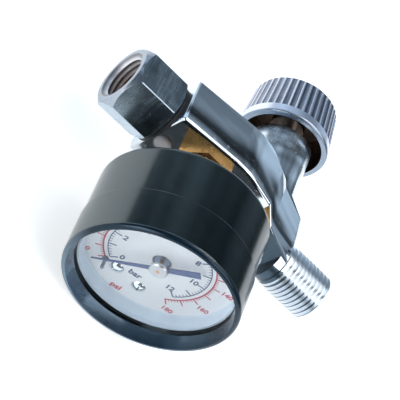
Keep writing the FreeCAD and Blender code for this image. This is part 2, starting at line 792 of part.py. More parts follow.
def build_knob():
    """Fluted knob with a hollow skirt and a hub that holds the adjusting screw."""
    body = turned_y("knob", "knob_axis", [
        ("skirt_bore", "knob_rim"), ("rim_radius", "knob_rim"), ("band_radius", "band_top"),
        ("crown_radius", "knob_top"), ("cap_seat_radius", "knob_top"),
        ("cap_shank", "knob_top - cap_seat_foot"),
        ("cap_shank", "screw_top"), ("screw_radius", "screw_top"), ("screw_radius", "hub_low"),
        ("hub_radius", "hub_low"), ("hub_radius", "ceiling"), ("skirt_root", "ceiling")])
    finish_edges(body, "Fillet", "knob_rim_round",
                 lambda edge: circle_at(edge, "rim_radius", "y", "knob_rim"))
    finish_edges(body, "Chamfer", "crown_edge",
                 lambda edge: circle_at(edge, "crown_radius", "y", "knob_top"))
    slope = "(band_radius - crown_radius) / (knob_top - band_top)"
    wide = new_sketch(body, "XZ_Plane", "-flute_low")
    draw_circle(wide, ("0", f"band_radius - {slope} * (flute_low - band_top) + flute_offset * flute_radius"),
                "flute_radius")
    narrow = new_sketch(body, "XZ_Plane", "-(knob_top + overshoot)")
    small = "flute_taper * flute_radius"
    draw_circle(narrow, ("0", f"crown_radius - {slope} * overshoot + flute_offset * {small}"), small)
    before = volume(body)
    flute = body.newObject("PartDesign::SubtractiveLoft", "Flute")
    flute.Profile = wide
    flute.Sections = [narrow]
    changed(body, flute, before, False)
    pattern = body.newObject("PartDesign::PolarPattern", "Flutes")
    pattern.Originals = [flute]
    axis = [o for o in body.Origin.OriginFeatures if o.Role == "Y_Axis"][0]
    pattern.Axis = (axis, [""])
    pattern.Angle = 360
    pattern.setExpression("Occurrences", bound("flute_count"))
    body.Tip = pattern
    doc.recompute()


# --------------------------------------------------------------------------- gauge shell

def build_gauge_shell():
    """Case, bezel, gasket, window, spacer ring and vent plug."""
    inner = "case_radius - case_wall"
    case = turned_y("gauge_case", "gauge_axis", [
        ("case_hole", "case_back"), ("case_radius", "case_back"), ("case_radius", "case_shoulder"),
        ("case_spigot", "case_shoulder"), ("case_spigot", "case_front"),
        ("case_spigot - case_wall", "case_front"),
        ("case_spigot - case_wall", "case_shoulder + shoulder_blend"),
        (inner, "case_shoulder + 2 * shoulder_blend"), (inner, "case_back - case_wall"),
        ("case_hole", "case_back - case_wall")])
    finish_edges(case, "Fillet", "case_round",
                 lambda edge: circle_at(edge, "case_radius", "y", "case_back"))
    bore_y(case, ("plug_across", "plug_up"), "plug_neck", "case_back - case_wall", "case_back")
    bezel = turned_y("gauge_bezel", "gauge_axis", [
        ("bezel_bore", "bezel_back"), ("bezel_radius", "bezel_back"), ("bezel_radius", "bezel_front"),
        ("bezel_crest", "bezel_front"), ("aperture + bezel_flare", "window_front - bezel_lip"),
        ("aperture", "window_front"), ("bezel_bore", "window_front")])
    finish_edges(bezel, "Fillet", "bezel_round",
                 lambda edge: circle_at(edge, "bezel_radius", "y", "bezel_front"))
    finish_edges(bezel, "Fillet", "rim_round",
                 lambda edge: circle_at(edge, "bezel_radius", "y", "bezel_back"))
    turned_y("gauge_window", "gauge_axis", [
        ("0", "window_front"), ("window_radius", "window_front"), ("window_radius", "window_back"),
        ("0", "window_back")])
    turned_y("window_gasket", "gauge_axis", [
        ("aperture", "window_back"), ("window_radius", "window_back"), ("window_radius", "case_front"),
        ("aperture", "case_front")])
    turned_y("window_ring", "gauge_axis", [
        ("spacer_bore", "window_back"), ("dial_radius", "window_back"), ("dial_radius", "dial_front"),
        ("spacer_bore", "dial_front")])
    plug = new_part("vent_plug", ("gauge_axis + plug_across", "0", "plug_up"))
    section = new_sketch(plug, "XY_Plane")
    draw_outline(section, [
        ("0", "case_back - case_wall"), ("plug_neck", "case_back - case_wall"), ("plug_neck", "case_back"),
        ("plug_radius", "case_back"), ("plug_radius", "case_back + plug_edge"),
        ("plug_crown", "case_back + plug_height"), ("0", "case_back + plug_height")])
    revolve(plug, section, "V_Axis")


def build_gauge_socket():
    """Brass stem: port thread, hexagon, round neck through the case and the inner block."""
    body = turned_y("gauge_socket", "gauge_axis", [
        ("socket_bore", "case_back - case_wall"), ("port_thread", "case_back - case_wall"),
        ("port_thread", "body_front + port_engagement - edge_break"),
        ("port_thread - edge_break", "body_front + port_engagement"),
        ("socket_bore", "body_front + port_engagement")])
    flats = new_sketch(body, "XZ_Plane", "-hex_back")
    hexagon(flats, "hex_flats")
    draw_circle(flats, ("0", "0"), "socket_bore")
    pad(body, flats, "hex_back - case_back - hex_gap")
    block = new_sketch(body, "XZ_Plane", "-(case_back - case_wall)")
    draw_outline(block, [
        ("-socket_half", "socket_tall"), ("socket_half", "socket_tall"), ("socket_half", "-socket_tall"),
        ("socket_neck", "-socket_waist"), ("socket_neck", "socket_low"), ("-socket_neck", "socket_low"),
        ("-socket_neck", "-socket_waist"), ("-socket_half", "-socket_tall")])
    pad(body, block, "case_back - case_wall - socket_front")
    bore_y(body, ("0", "0"), "socket_bore", "case_back - socket_bore_depth", "body_front")


# --------------------------------------------------------------------------- dial

def post_place(side):
    """Across and up of a dial post, as sheet expressions; side is -1 or 1."""
    return (f"{side} * post_circle * sin(post_spread * 1deg)", "-post_circle * cos(post_spread * 1deg)")


def build_dial():
    """Dial plate, its two screws on their posts, the stop pin and the arbor bushing."""
    dial = turned_y("dial", "gauge_axis", [
        ("dial_hole", "dial_front"), ("dial_radius", "dial_front"), ("dial_radius", "dial_back"),
        ("dial_hole", "dial_back")])
    for side in (-1, 1):
        bore_y(dial, post_place(side), "dial_screw", "dial_front", "dial_back")
    screws = []
    posts = []
    for side in (-1, 1):
        across, up = post_place(side)
        place = f"gauge_axis + {across}"
        head = rod("head", "dial_screw_head", (place, "dial_front - dial_screw_height", up),
                   "dial_screw_height")
        shank = rod("shank", "dial_screw", (place, "dial_front", up),
                    "plate_front + dial_screw_reach - dial_front")
        screws += [head, shank]
        sleeve = rod("sleeve", "post_radius", (place, "dial_back", up), "plate_front - dial_back")
        hollow = rod("hollow", "dial_screw", (place, "dial_back", up), "plate_front - dial_back")
        post = doc.addObject("Part::Cut", "post")
        post.Base = sleeve
        post.Tool = hollow
        posts.append(post)
    group("dial_screws", screws)
    group("dial_posts", posts)
    pin = new_part("stop_pin", ("gauge_axis + stop_circle * sin(stop_angle * 1deg)", "0",
                                "stop_circle * cos(stop_angle * 1deg)"))
    section = new_sketch(pin, "XY_Plane")
    draw_outline(section, [("0", "dial_front - stop_height"),
                           ("stop_radius - stop_edge", "dial_front - stop_height"),
                           ("stop_radius", "dial_front - stop_height + stop_edge"),
                           ("stop_radius", "dial_front - stop_collar_height"),
                           ("stop_collar", "dial_front - stop_collar_height"),
                           ("stop_collar", "dial_front"), ("0", "dial_front")])
    revolve(pin, section, "V_Axis")
    turned_y("arbor_bushing", "gauge_axis", [
        ("arbor_radius + arbor_play", "bushing_front"), ("bushing_radius - small_edge", "bushing_front"),
        ("bushing_radius", "bushing_front + small_edge"), ("bushing_radius", "plate_front"),
        ("arbor_radius + arbor_play", "plate_front")])


# --------------------------------------------------------------------------- movement

def pivot_place():
    """Across and up of the sector's pivot."""
    reach = value("gear_module * (pinion_teeth + sector_teeth) / 2")
    angle = math.radians(value("sector_angle"))
    return reach * math.cos(angle), reach * math.sin(angle)


def tail_place():
    """Across and up of the pin on the sector's tail."""
    across, up = pivot_place()
    angle = math.radians(value("tail_angle"))
    return across + value("tail_length") * math.cos(angle), up + value("tail_length") * math.sin(angle)


PRESSURE_ANGLE = math.radians(20)
DEDENDUM, ADDENDUM = 1.2, 0.9      # tooth depths below and above the pitch circle, in modules
FLANK_STEPS = 5


def tooth_flank(teeth, module, backlash):
    """Half tooth of an involute gear as (radius, half angle) pairs from root to tip."""
    pitch = module * teeth / 2
    base = pitch * math.cos(PRESSURE_ANGLE)
    root, tip = pitch - DEDENDUM * module, pitch + ADDENDUM * module
    half = math.pi / (2 * teeth) - backlash / (2 * pitch)
    involute = math.tan(PRESSURE_ANGLE) - PRESSURE_ANGLE
    flank = []
    for step in range(FLANK_STEPS + 1):
        radius = max(base, root) + (tip - max(base, root)) * step / FLANK_STEPS
        roll = math.acos(min(1.0, base / radius))
        flank.append((radius, half + involute - (math.tan(roll) - roll)))
    if root < base:
        flank.insert(0, (root, flank[0][1]))
    return flank


def gear_outline(teeth, module, backlash, first, last, turn):
    """Points of the teeth numbered first to last, with tooth 0 pointing at turn radians."""
    flank = tooth_flank(teeth, module, backlash)
    points = []
    for tooth in range(first, last + 1):
        middle = turn + 2 * math.pi * tooth / teeth
        for radius, half in flank:
            points.append((radius * math.cos(middle - half), radius * math.sin(middle - half)))
        for radius, half in reversed(flank):
            points.append((radius * math.cos(middle + half), radius * math.sin(middle + half)))
    return points


def flat_solid(points, front, thickness):
    """A plate in the XZ plane from outline points (across, up), from Y front to front + thickness."""
    corners = [FreeCAD.Vector(across, front, up) for across, up in points]
    wire = Part.makePolygon(corners + corners[:1])
    return Part.Face(wire).extrude(FreeCAD.Vector(0, thickness, 0))


def disc(across, up, radius, front, thickness):
    """A round plate or pin parallel to Y."""
    return Part.makeCylinder(radius, thickness, FreeCAD.Vector(across, front, up), FreeCAD.Vector(0, 1, 0))


FIRST_TOOTH, LAST_TOOTH = -9, 1    # the sector's teeth, counted from the one nearest the pinion
WEB_RADIUS = 1.6
WEB_TURNS = (1.2, 0.0, -1.8)       # radians about the pivot where the sector's web ends


def build_gears():
    """Pinion on the pointer's arbor, and the toothed sector with its own arbor."""
    module, backlash = value("gear_module"), value("gear_backlash")
    pinion_teeth, sector_teeth = int(value("pinion_teeth")), int(value("sector_teeth"))
    towards = math.radians(value("sector_angle"))
    front, thick = value("sector_front"), value("sector_thickness")
    arbor = value("arbor_radius")
    base = (value("gauge_axis"), 0, 0)
    outline = gear_outline(pinion_teeth, module, backlash, 0, pinion_teeth - 1, towards)
    margin = value("pinion_margin")
    pinion = flat_solid(outline, front - margin, thick + 2 * margin)
    low, high = value("pointer_front + pointer_thickness"), value("plate_back + plate_thickness - arbor_end")
    pinion = pinion.fuse(disc(0, 0, arbor, low, high - low)).removeSplitter()
    free_shape("pinion_arbor", pinion, base)

    across, up = pivot_place()
    back = towards + math.pi
    half_step = math.pi / sector_teeth
    teeth = gear_outline(sector_teeth, module, backlash, FIRST_TOOTH, LAST_TOOTH, back + half_step)
    web = [(WEB_RADIUS * math.cos(back + turn), WEB_RADIUS * math.sin(back + turn)) for turn in WEB_TURNS]
    outline = [(across + x, up + y) for x, y in teeth + web]
    sector = flat_solid(outline, front, thick)
    tail_x, tail_z = tail_place()
    half = value("sector_arm_half")
    side = FreeCAD.Vector(tail_z - up, 0, across - tail_x).normalize() * half
    arm = [(across - side.x, up - side.z), (across + side.x, up + side.z),
           (tail_x + side.x, tail_z + side.z), (tail_x - side.x, tail_z - side.z)]
    for piece in (disc(across, up, value("sector_hub"), front, thick), flat_solid(arm, front, thick),
                  disc(tail_x, tail_z, half, front, thick)):
        sector = sector.fuse(piece)
    sector = sector.removeSplitter().cut(disc(across, up, arbor, front, thick))
    sector = sector.cut(disc(tail_x, tail_z, value("pin_hole"), front, thick))
    free_shape("sector_gear", sector, base)
    low, high = value("plate_front"), value("plate_back + plate_thickness - arbor_end")
    free_shape("sector_arbor", disc(across, up, arbor, low, high - low), base)


def build_link():
    """Link between the sector's tail and the tube's tip, with the two pins it carries."""
    tail_x, tail_z = tail_place()
    end_x, end_z = value("link_end_across"), value("link_end_up")
    front, thick = value("sector_front + sector_thickness + link_play"), value("link_thickness")
    pin, play = value("pin_radius"), value("link_play")
    side = FreeCAD.Vector(end_z - tail_z, 0, tail_x - end_x).normalize() * value("link_half")
    bar = flat_solid([(tail_x - side.x, tail_z - side.z), (tail_x + side.x, tail_z + side.z),
                      (end_x + side.x, end_z + side.z), (end_x - side.x, end_z - side.z)], front, thick)
    for across, up in ((tail_x, tail_z), (end_x, end_z)):
        bar = bar.fuse(disc(across, up, value("link_eye"), front, thick))
    bar = bar.removeSplitter()
    for across, up in ((tail_x, tail_z), (end_x, end_z)):
        bar = bar.cut(disc(across, up, pin, front, thick))
    base = (value("gauge_axis"), 0, 0)
    free_shape("movement_link", bar, base)
    first = disc(tail_x, tail_z, pin, value("sector_front"), value("sector_thickness") + play + thick)
    second = disc(end_x, end_z, pin, front, thick + value("pin_end"))
    free_shape("link_pins", Part.makeCompound([first, second]), base)


FRONT_PLATE = ((-8.5, -6), (-2.5, 8), (3, 8), (9, -5), (9, -11), (6, -15), (-6, -15))
BACK_PLATE = FRONT_PLATE[:5] + ((6, -12.5), (-6, -12.5))
PILLARS = ((-6.2, -4.5), (0.3, 6.2), (-3.5, -11.3))


def build_movement_frame():
    """Two plates with pivot holes, and the pillars between them."""
    base = (value("gauge_axis"), 0, 0)
    across, up = pivot_place()
    thick, arbor = value("plate_thickness"), value("arbor_radius + arbor_play")
    front_plate = flat_solid(FRONT_PLATE, value("plate_front"), thick)
    back_plate = flat_solid(BACK_PLATE, value("plate_back"), thick)
    for hole_x, hole_z in ((0, 0), (across, up)):
        front_plate = front_plate.cut(disc(hole_x, hole_z, arbor, value("plate_front"), thick))
        back_plate = back_plate.cut(disc(hole_x, hole_z, arbor, value("plate_back"), thick))
    screw = value("dial_screw")
    for side in (-1, 1):
        spot_x, spot_z = (value(expression) for expression in post_place(side))
        front_plate = front_plate.cut(disc(spot_x, spot_z, screw, value("plate_front"), thick))
    free_shape("movement_front_plate", front_plate, base)
    free_shape("movement_back_plate", back_plate, base)
    low, high = value("plate_front") + thick, value("plate_back")
    pillars = [disc(x, z, value("pillar_radius"), low, high - low) for x, z in PILLARS]
    free_shape("movement_pillars", Part.makeCompound(pillars), base)


def build_bourdon_tube():
    """Flattened C-shaped tube that leaves the socket and ends near the link."""
    inner, outer = value("tube_inner"), value("tube_outer")
    front, back, wall = value("tube_front"), value("tube_back"), value("tube_wall")
    start, sweep = value("tube_start"), value("tube_sweep")

    def stadium(inset):
        low, high = inner + inset, outer - inset
        half = (high - low) / 2
        first = FreeCAD.Vector(low, front + inset + half, 0)
        second = FreeCAD.Vector(low, back - inset - half, 0)
        third = FreeCAD.Vector(high, back - inset - half, 0)
        fourth = FreeCAD.Vector(high, front + inset + half, 0)
        top = FreeCAD.Vector((low + high) / 2, back - inset, 0)
        bottom = FreeCAD.Vector((low + high) / 2, front + inset, 0)
        curves = (Part.LineSegment(first, second), Part.Arc(second, top, third),
                  Part.LineSegment(third, fourth), Part.Arc(fourth, bottom, first))
        return Part.Wire([curve.toShape() for curve in curves])

    outside, inside = (Part.Face(stadium(inset)).revolve(FreeCAD.Vector(), FreeCAD.Vector(0, 1, 0), sweep)
                       for inset in (0.0, wall))
    tube = outside.cut(inside)
    lug_across, lug_up = value("link_end_across"), value("link_end_up")
    lug_front = value("sector_front + sector_thickness + 2 * link_play + link_thickness")
    thick, half, end = value("lug_thickness"), value("lug_half"), value("lug_end")
    lug = Part.makeBox(inner + value("lug_root") - lug_across + end, thick, 2 * half,
                       FreeCAD.Vector(lug_across - end, lug_front, lug_up - half))
    lug = lug.cut(disc(lug_across, lug_up, value("pin_hole"), lug_front, thick))
    lug.rotate(FreeCAD.Vector(), FreeCAD.Vector(0, 1, 0), start)
    tube = tube.fuse(lug).cut(inside)
    free_shape("bourdon_tube", tube, (value("gauge_axis"), 0, 0), spin=-start)


def build_hairspring():
    """Flat spiral on the pinion's arbor."""
    front, height, width = value("plate_front + plate_thickness + hairspring_gap"), 0.35, 0.12
    turns, first, step, per_turn = 4, 0.75, 0.45, 24

    def spiral(offset):
        points = []
        for i in range(per_turn * turns + 1):
            radius = first + offset + step * i / per_turn
            angle = 2 * math.pi * i / per_turn
            points.append(FreeCAD.Vector(radius * math.cos(angle), front, radius * math.sin(angle)))
        return points

    inside, outside = Part.BSplineCurve(), Part.BSplineCurve()
    inside.interpolate(spiral(0.0))
    outside.interpolate(spiral(width))
    ends = [Part.LineSegment(inside.StartPoint, outside.StartPoint).toShape(),
            Part.LineSegment(inside.EndPoint, outside.EndPoint).toShape()]
    wire = Part.Wire(Part.__sortEdges__([inside.toShape(), outside.toShape()] + ends))
    strip = Part.Face(wire).extrude(FreeCAD.Vector(0, height, 0))
    free_shape("hairspring", strip, (value("gauge_axis"), 0, 0))


# --------------------------------------------------------------------------- pointer

def build_pointer():
    """Blued hand, widening to its tail, and the bright hub cap on it."""
    body = new_part("pointer", ("gauge_axis", "0", "0"))
    plan = new_sketch(body, "XZ_Plane", "-(pointer_front + pointer_thickness)")
    along = ("sin(pointer_angle * 1deg)", "cos(pointer_angle * 1deg)")

    def spot(reach, aside):
        return (f"({reach}) * {along[0]} + ({aside}) * {along[1]}",
                f"({reach}) * {along[1]} - ({aside}) * {along[0]}")

    draw_outline(plan, [
        spot("pointer_tip", "pointer_tip_half"), spot("0", "pointer_middle_half"),
        spot("-pointer_tail", "pointer_tail_half"), spot("-pointer_tail", "-pointer_tail_half"),
        spot("0", "-pointer_middle_half"), spot("pointer_tip", "-pointer_tip_half")])
    pad(body, plan, "pointer_thickness")
    turned_y("pointer_hub", "gauge_axis", [
        ("0", "hub_cap_front"), ("hub_cap_radius - small_edge", "hub_cap_front"),
        ("hub_cap_radius", "hub_cap_front + small_edge"), ("hub_cap_radius", "pointer_front"),
        ("0", "pointer_front")])


# --------------------------------------------------------------------------- everything

build_valve_body()
build_swivel_nut()
build_outlet_stem()
build_spacer_washer()
build_valve()
build_springs()
build_adjuster()
build_knob()
build_gauge_shell()
build_gauge_socket()
build_dial()
build_gears()
build_link()
build_movement_frame()
build_bourdon_tube()
build_hairspring()
build_pointer()

doc.recompute()
for item in doc.Objects:
    assert "Invalid" not in item.State and "Error" not in item.State, f"{item.Label}: {item.State}"
os.makedirs("parts", exist_ok=True)
for part in parts:
    assert not part.Shape.isNull() and part.Shape.isValid(), f"{part.Label}: bad shape"
    part.Shape.exportStep(f"parts/{part.Label}.step")
    print(part.Label, len(part.Shape.Solids), round(part.Shape.Volume, 1))
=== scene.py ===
import json
import math

import bmesh
import bpy
from mathutils import Matrix, Vector


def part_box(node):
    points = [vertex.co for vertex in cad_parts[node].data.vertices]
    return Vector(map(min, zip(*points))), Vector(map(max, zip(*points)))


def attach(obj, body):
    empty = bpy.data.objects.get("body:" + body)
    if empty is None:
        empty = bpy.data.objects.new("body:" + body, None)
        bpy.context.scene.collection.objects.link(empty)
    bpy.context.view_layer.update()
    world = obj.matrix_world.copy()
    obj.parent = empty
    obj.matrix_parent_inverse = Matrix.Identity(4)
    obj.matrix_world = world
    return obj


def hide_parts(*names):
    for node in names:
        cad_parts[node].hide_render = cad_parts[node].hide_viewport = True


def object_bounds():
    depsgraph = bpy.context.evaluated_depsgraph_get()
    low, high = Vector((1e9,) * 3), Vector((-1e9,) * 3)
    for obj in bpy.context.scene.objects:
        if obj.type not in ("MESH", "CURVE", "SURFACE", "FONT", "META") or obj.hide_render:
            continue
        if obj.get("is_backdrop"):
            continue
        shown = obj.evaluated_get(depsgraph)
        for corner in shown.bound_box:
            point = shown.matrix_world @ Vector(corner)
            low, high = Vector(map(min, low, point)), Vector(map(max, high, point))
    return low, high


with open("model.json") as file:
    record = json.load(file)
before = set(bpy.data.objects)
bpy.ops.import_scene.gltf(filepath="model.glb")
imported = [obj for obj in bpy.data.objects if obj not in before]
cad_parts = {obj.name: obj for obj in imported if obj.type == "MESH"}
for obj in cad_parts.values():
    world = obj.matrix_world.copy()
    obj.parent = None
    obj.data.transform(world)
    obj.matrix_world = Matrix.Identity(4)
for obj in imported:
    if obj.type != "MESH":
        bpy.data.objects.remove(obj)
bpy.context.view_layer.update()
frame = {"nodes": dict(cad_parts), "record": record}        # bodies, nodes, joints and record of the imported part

MM = 0.001


# --------------------------------------------------------------------------- places on the CAD parts

body_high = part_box("valve_body")[1]
knob_low, knob_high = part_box("knob")
nut_low, nut_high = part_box("swivel_nut")
dial_low, dial_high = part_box("dial")

# The body's front face steps out towards the gauge between two places along X, then leans out to its tip.
BODY_FRONT = 4.0 * MM
STEP_START = -28.0 * MM
STEP_END = -24.9 * MM
STEP_FRONT = -0.7 * MM
TIP_END = -12.4 * MM
TIP_FRONT = -3.2 * MM

TOWER_HIGH = body_high.y
TOWER_LOW = TOWER_HIGH - 15.0 * MM
THREAD_START = body_high.x - 14.6 * MM

# The knob's wall tapers from its foot to its crown, and its hollow from its mouth to its ceiling.
KNOB_AXIS = (knob_low.x + knob_high.x) / 2
KNOB_MOUTH = knob_low.y
KNOB_FOOT = KNOB_MOUTH + 2.2 * MM
KNOB_CROWN = knob_high.y
KNOB_CEILING = KNOB_CROWN - 2.55 * MM
KNOB_FOOT_RADIUS = 12.45 * MM
KNOB_CROWN_RADIUS = 11.35 * MM
KNOB_MOUTH_RADIUS = 11.2 * MM
KNOB_TAPER = 0.08                      # how much the hollow's radius shrinks for each unit of depth
# Depths under the knob's wall between which its ridges fade into its flutes.
RIDGE_TOP = 0.02 * MM
FLUTE_TOP = 0.14 * MM

NUT_AXIS = (nut_low.y + nut_high.y) / 2
NUT_MOUTH = nut_low.x
NUT_BORE = 6.9 * MM
NUT_CREST = 5.72 * MM
NUT_ROOT = 6.5 * MM

DIAL_FRONT = dial_low.y


# --------------------------------------------------------------------------- node trees

class Patterns:
    """A shader node tree whose patterns all follow one set of coordinates."""

    def __init__(self, tree, coordinates):
        self.tree = tree
        self.place = self.node("TexCoord").outputs[coordinates]

    def node(self, kind, **settings):
        made = self.tree.nodes.new("ShaderNode" + kind)
        for key, setting in settings.items():
            setattr(made, key, setting)
        return made

    def wire(self, source, target):
        self.tree.links.new(source, target)

    def feed(self, source, target):
        """Wires another node's output to a socket, or sets the socket to a plain number or triple."""
        if isinstance(source, bpy.types.NodeSocket):
            self.wire(source, target)
        else:
            target.default_value = source

    def stretched(self, stretch, turn):
        """The coordinates, scaled along each axis and then turned."""
        mapping = self.node("Mapping")
        mapping.inputs["Scale"].default_value = stretch
        mapping.inputs["Rotation"].default_value = turn
        self.wire(self.place, mapping.inputs["Vector"])
        return mapping.outputs["Vector"]

    def noise(self, scale, detail=3.0, roughness=0.5, distortion=0.0, stretch=None, turn=(0.0, 0.0, 0.0)):
        """Soft blotches; scale is in blotches a unit of the coordinates."""
        made = self.node("TexNoise")
        made.inputs["Scale"].default_value = scale
        made.inputs["Detail"].default_value = detail
        made.inputs["Roughness"].default_value = roughness
        made.inputs["Distortion"].default_value = distortion
        self.wire(self.stretched(stretch, turn) if stretch else self.place, made.inputs["Vector"])
        return made.outputs["Fac"]

    def spread(self, source, low, high, start=0.3, end=0.7):
        """The source's range from start to end, mapped to low to high and held there beyond it."""
        made = self.node("MapRange")
        made.inputs["From Min"].default_value = start
        made.inputs["From Max"].default_value = end
        made.inputs["To Min"].default_value = low
        made.inputs["To Max"].default_value = high
        self.wire(source, made.inputs["Value"])
        return made.outputs["Result"]

    def combine(self, operation, first, second):
        """Arithmetic on two numbers."""
        made = self.node("Math", operation=operation)
        self.feed(first, made.inputs[0])
        self.feed(second, made.inputs[1])
        return made.outputs["Value"]

    def vector(self, operation, first, second):
        """Arithmetic on two vectors or two colours."""
        made = self.node("VectorMath", operation=operation)
        self.feed(first, made.inputs[0])
        self.feed(second, made.inputs[1])
        return made.outputs["Vector"]

    def along(self, axis):
        """The part of the coordinates that points along a direction of length 1."""
        made = self.node("VectorMath", operation="DOT_PRODUCT")
        self.wire(self.place, made.inputs[0])
        made.inputs[1].default_value = axis
        return made.outputs["Value"]

    def axes(self):
        """The coordinates X, Y and Z."""
        split = self.node("SeparateXYZ")
        self.wire(self.place, split.inputs["Vector"])
        return split.outputs["X"], split.outputs["Y"], split.outputs["Z"]

    def off_axis(self, centre, keep):
        """Distance from a line through centre; keep is 0 along the line and 1 across it."""
        across = self.vector("MULTIPLY", self.vector("SUBTRACT", self.place, centre), keep)
        length = self.node("VectorMath", operation="LENGTH")
        self.wire(across, length.inputs[0])
        return length.outputs["Value"]

    def dome(self, aside):
        """A parabola that is 1 where aside is 0, and 0 where it is -1 or 1."""
        return self.combine("SUBTRACT", 1.0, self.combine("MULTIPLY", aside, aside))


class Finish(Patterns):
    """A material on one Principled shader, with patterns in metres that follow the row frame."""

    def __init__(self, name, colour, metallic, roughness):
        self.material = bpy.data.materials.new(name)
        self.material.use_nodes = True
        super().__init__(self.material.node_tree, "Object")
        self.shader = self.tree.nodes["Principled BSDF"]
        self.colour = colour
        self.relief = None
        self.set("Base Color", (*colour, 1.0))
        self.set("Metallic", metallic)
        self.set("Roughness", roughness)

    def set(self, socket, setting):
        self.shader.inputs[socket].default_value = setting

    def tint(self, source, low, high):
        """The base colour varies between two strengths of itself with the source."""
        ramp = self.node("ValToRGB")
        for element, strength in zip(ramp.color_ramp.elements, (low, high)):
            element.color = (*(min(channel * strength, 1.0) for channel in self.colour), 1.0)
        self.wire(source, ramp.inputs["Fac"])
        self.wire(ramp.outputs["Color"], self.shader.inputs["Base Color"])

    def rough(self, source, low, high, start=0.3, end=0.7):
        self.wire(self.spread(source, low, high, start, end), self.shader.inputs["Roughness"])

    def bump(self, source, depth):
        """Relief of that depth in metres; several calls stack."""
        made = self.node("Bump")
        made.inputs["Strength"].default_value = 1.0
        made.inputs["Distance"].default_value = depth
        self.wire(source, made.inputs["Height"])
        if self.relief is not None:
            self.wire(self.relief, made.inputs["Normal"])
        self.relief = made.outputs["Normal"]
        self.wire(self.relief, self.shader.inputs["Normal"])


# --------------------------------------------------------------------------- finishes

AROUND_X = (1.0, 0.04, 0.04)           # stretch of tool marks that run round an X axis
CROWN_HALF, CROWN_RISE = 7.0 * MM, 0.55 * MM
EDGE_ROLL, EDGE_RISE = 1.3 * MM, 0.13 * MM
# The lip's sheen is a painted reflection, strong below and weak above.
LIP_REFLECTION_STRONG, LIP_REFLECTION_WEAK = -16.0 * MM, 2.0 * MM        # heights between which the lip's sheen fades
BRASS_START, BRASS_FULL = 3.0 * MM, 6.5 * MM       # depths in the nut at which its plate is worn off


def polished_chrome():
    """Bright plate on the valve body: waves on crowned walls with rolled edges, and a satin tower."""
    finish = Finish("polished_chrome", (0.82, 0.88, 0.94), 1.0, 0.14)
    across, along, _ = finish.axes()

    step = finish.spread(across, BODY_FRONT, STEP_FRONT, STEP_START, STEP_END)
    lean = finish.spread(across, 0.0, TIP_FRONT - STEP_FRONT, STEP_END, TIP_END)
    behind = finish.combine("SUBTRACT", along, finish.combine("ADD", step, lean))
    finish.bump(finish.dome(finish.spread(behind, -1.0, 1.0, 0.0, 2 * CROWN_HALF)), CROWN_RISE)
    finish.bump(finish.dome(finish.spread(behind, 1.0, 0.0, 0.0, EDGE_ROLL)), EDGE_RISE)
    waves = finish.noise(1.0, 0.5, distortion=1.2, stretch=(24.0, 90.0, 24.0))
    finish.bump(waves, 0.50 * MM)

    scuffs = finish.spread(finish.noise(420.0, 4.0, 0.7), 0.0, 0.22, 0.60, 0.74)
    hairs = finish.spread(finish.noise(2400.0, 2.0, stretch=(0.06, 1.0, 1.0), turn=(0.2, 1.3, -0.5)),
                          0.0, 0.10, 0.62, 0.74)
    satin = finish.combine("MULTIPLY", finish.spread(along, 0.0, 1.0, TOWER_LOW, TOWER_HIGH),
                           finish.spread(finish.noise(230.0, 3.0, 0.6), 0.12, 0.28))
    thread = finish.spread(across, 0.0, 0.20, THREAD_START - MM, THREAD_START)
    scratches = finish.combine("ADD", scuffs, hairs)
    dulled = finish.combine("ADD", satin, thread)
    finish.tint(finish.noise(70.0, 3.0, 0.6), 0.86, 1.0)
    finish.rough(finish.combine("ADD", scratches, dulled), 0.09, 0.55, 0.0, 0.46)
    finish.bump(scratches, 0.01 * MM)
    return finish.material


def satin_plate(name, colour, low, high, contrast=0.82):
    """Satin plate with fine lines drawn round X and soft stains."""
    finish = Finish(name, colour, 1.0, 0.25)
    lines = finish.noise(2600.0, 2.0, stretch=AROUND_X)
    blotches = finish.noise(300.0, 3.0)
    finish.tint(finish.noise(210.0, 3.0, 0.6), contrast, 1.0)
    finish.rough(finish.combine("ADD", finish.combine("MULTIPLY", lines, 0.5),
                                finish.combine("MULTIPLY", blotches, 0.5)), low, high)
    finish.bump(lines, 0.0009 * MM)
    finish.bump(finish.noise(150.0, 1.0), 0.02 * MM)
    return finish.material


def fluted_plate():
    """The knob's plate: painted shade darkens it down in the flutes, and a painted highlight brightens it along
    the ridges.
    """
    finish = Finish("fluted_plate", (0.32, 0.335, 0.43), 1.0, 0.2)
    _, along, _ = finish.axes()
    wall = finish.spread(along, KNOB_FOOT_RADIUS, KNOB_CROWN_RADIUS, KNOB_FOOT, KNOB_CROWN)
    depth = finish.combine("SUBTRACT", wall, finish.off_axis((KNOB_AXIS, 0.0, 0.0), (1.0, 0.0, 1.0)))
    ridge = finish.spread(depth, 1.0, 0.0, RIDGE_TOP, FLUTE_TOP)
    stained = finish.combine("MULTIPLY", finish.noise(260.0, 3.0, 0.6), 0.35)
    # Painted light: the colour darkens into the flutes and brightens along the ridges; the stains add real
    # variation.
    finish.tint(finish.combine("ADD", ridge, stained), 0.40, 2.6)
    finish.rough(finish.combine("ADD", ridge, finish.noise(500.0, 3.0)), 0.14, 0.30, 0.4, 1.5)
    finish.bump(finish.noise(600.0, 2.0), 0.006 * MM)
    return finish.material


